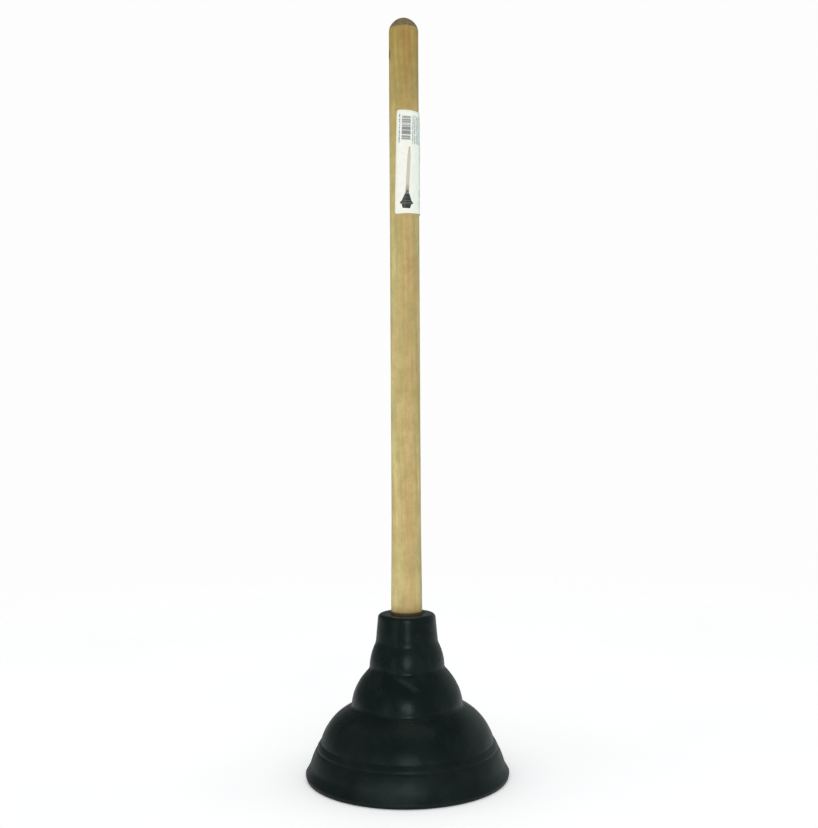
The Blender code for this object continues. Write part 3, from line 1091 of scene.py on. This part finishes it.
def label_piece(size, material):
    """A thin sheet that lies close at its left edge and stands off the wood a little further round."""
    mesh = bmesh.new()
    uv = mesh.loops.layers.uv.new("sheet")
    place = {}
    back = label_side(mesh, place, size, LABEL_GLUE)
    front = label_side(mesh, place, size, LABEL_GLUE + LABEL_THICKNESS)
    columns, rows = LABEL_COLUMNS, LABEL_ROWS
    for column in range(columns):
        for row in range(rows):
            for grid in (back, front):
                near, far = grid[column], grid[column + 1]
                mesh.faces.new((near[row], far[row], far[row + 1], near[row + 1]))
    rim = [(column, 0) for column in range(columns)] + [(columns, row) for row in range(rows)]
    rim += [(column, rows) for column in range(columns, 0, -1)] + [(0, row) for row in range(rows, 0, -1)]
    for (a, b), (c, d) in zip(rim, rim[1:] + rim[:1]):
        mesh.faces.new((back[a][b], back[c][d], front[c][d], front[a][b]))
    for face in mesh.faces:
        for loop in face.loops:
            loop[uv].uv = place[loop.vert]
    label = new_piece("paper_label", mesh, material)
    label.data.set_sharp_from_angle(angle=LABEL_SHARP_EDGE)
    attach(label, "handle")
    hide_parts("label")


# ---- stage


def floor_material():
    """A pale matt floor that fades into the backdrop, and that can't be seen from below."""
    s = Shader("pale_floor")
    s.place = s.new("TexCoord").outputs["Object"]
    x, y, _ = s.axes(s.place)
    faded = s.ramp(s.length(x, y), *FLOOR_FADE)
    from_below = s.new("NewGeometry").outputs["Backfacing"]
    mirrored = s.times(s.new("LightPath").outputs["Is Glossy Ray"], FLOOR_DIMMED)
    clear = s.most(faded, from_below, mirrored)
    mottle = s.ramp(s.noise(3.0, 2.0, 0.5), 0.3, 0.7, *FLOOR_TONES)
    tone = s.new("CombineColor")
    for socket in tone.inputs[:3]:
        s.feed(socket, mottle)
    s.finish(Base_Color=tone.outputs[0], Roughness=0.8, Specular_IOR_Level=0.1)
    s.finish(Emission_Color=(1.0, 1.0, 1.0), Emission_Strength=FLOOR_GLOW)
    gap = s.new("BsdfTransparent").outputs[0]
    s.feed(s.output.inputs["Surface"], s.choice(clear, s.surface.outputs[0], gap))
    return s.material


def floor(frame):
    """The floor goes down with the flange, so that the folded-out lip stands on it."""
    mesh = bmesh.new()
    bmesh.ops.create_circle(mesh, cap_ends=True, segments=FLOOR_COLUMNS, radius=FLOOR_RADIUS)
    data = bpy.data.meshes.new("floor")
    mesh.to_mesh(data)
    mesh.free()
    data.materials.append(floor_material())
    obj = bpy.data.objects.new("floor", data)
    bpy.context.scene.collection.objects.link(obj)
    obj.location.z = -FLOOR_DROP
    fold_out = next(joint for joint in frame["joints"] if joint["name"] == "flange_fold_out")
    travel = fold_out["range_m"][1]
    lip_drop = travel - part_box("fold_out_flange")[1].z
    follow = obj.constraints.new("COPY_LOCATION")
    follow.target = frame["bodies"]["flange"]
    follow.use_x = follow.use_y = False
    follow.use_offset = True
    follow.influence = (lip_drop + LIP_CLEARANCE) / travel


def world():
    """White behind the object. Reflections see a room that is bright at the back and dim elsewhere."""
    made = bpy.data.worlds.new("studio")
    made.use_nodes = True
    n = Nodes(made.node_tree)
    backdrop = n.tree.nodes["Background"]
    soft, mirror = n.new("Background"), n.new("Background")
    n.feed(backdrop.inputs["Color"], BACKDROP)
    n.feed(soft.inputs["Color"], ROOM_LIGHT)
    n.feed(soft.inputs["Strength"], ROOM_STRENGTH)
    n.feed(mirror.inputs["Color"], MIRRORED_ROOM)

    tilted = n.new("Mapping")
    tilted.vector_type = "VECTOR"
    n.feed(tilted.inputs["Rotation"], (0.0, ROOM_TILT, 0.0))
    n.feed(tilted.inputs["Vector"], n.new("TexCoord").outputs["Generated"])
    to_right, to_back, to_top = n.axes(tilted.outputs["Vector"])
    # Bright low down at the back, to a greater height on the right, and dark overhead.
    back = n.ramp(to_back, -0.35, 0.90, 0.04, 0.25)
    right = n.ramp(to_right, -0.8, 0.8, 0.72, 1.18)
    low = n.ramp(to_top, 0.05, 0.60, 1.0, 0.12)
    n.feed(mirror.inputs["Strength"], n.product(back, right, low))

    rays = n.new("LightPath")
    lit = n.choice(rays.outputs["Is Glossy Ray"], soft.outputs[0], mirror.outputs[0])
    seen = n.choice(rays.outputs["Is Camera Ray"], lit, backdrop.outputs[0])
    n.feed(n.tree.nodes["World Output"].inputs["Surface"], seen)
    bpy.context.scene.world = made


def softbox(name, location, target, width, height, watts, shape):
    data = bpy.data.lights.new(name, "AREA")
    data.shape = shape
    data.size, data.size_y, data.energy = width, height, watts
    obj = bpy.data.objects.new(name, data)
    obj.location = location
    obj.rotation_euler = (Vector(target) - Vector(location)).to_track_quat("-Z", "Y").to_euler()
    bpy.context.scene.collection.objects.link(obj)


def camera():
    data = bpy.data.cameras.new("camera")
    data.lens = CAMERA_LENS
    obj = bpy.data.objects.new("camera", data)
    obj.location = (CAMERA_SHIFT, -CAMERA_DISTANCE, CAMERA_HEIGHT)
    obj.rotation_euler = (math.pi / 2, CAMERA_ROLL, 0.0)
    bpy.context.scene.collection.objects.link(obj)
    bpy.context.scene.camera = obj


# ---- main


def radius_between(node, low, high):
    """The largest radius of a CAD node's vertices between two heights."""
    return max(math.hypot(v.co.x, v.co.y) for v in node.data.vertices if low < v.co.z < high)


def sizes(frame):
    """The driving sizes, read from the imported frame."""
    cup_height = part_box("force_cup")[1].z
    handle_low, handle_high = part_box("handle")
    label_low, label_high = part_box("label")
    handle = frame["nodes"]["handle"]
    return {
        "cup_radius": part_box("force_cup")[1].x,
        "cup_height": cup_height,
        "flare_radius": radius_between(handle, cup_height - 5 * MM, cup_height + 1 * MM),
        "shaft_radius": radius_between(handle, cup_height + 50 * MM, handle_high.z - 5 * MM),
        "handle_tip": handle_low.z,
        "handle_top": handle_high.z,
        "socket_floor": handle_low.z - SOCKET_END_GAP,
        "label_middle": (label_low.z + label_high.z) / 2,
    }


def build():
    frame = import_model()
    size = sizes(frame)
    collar_top = size["cup_height"]
    cup_piece(size, rubber_material("cup_rubber", dust_and_highlight_share=0.22, polish=0.22, collar_top=collar_top))
    flange_piece(size, rubber_material("flange_rubber", dust_and_highlight_share=0.12, polish=0.30, collar_top=collar_top))
    handle_piece(size, wood_material(size["handle_top"], size["cup_height"], size["shaft_radius"]))
    label_piece(size, label_material())
    floor(frame)
    world()
    for box in SOFTBOXES:
        softbox(*box)
    camera()
    bpy.context.scene.view_settings.view_transform = "Standard"


build()
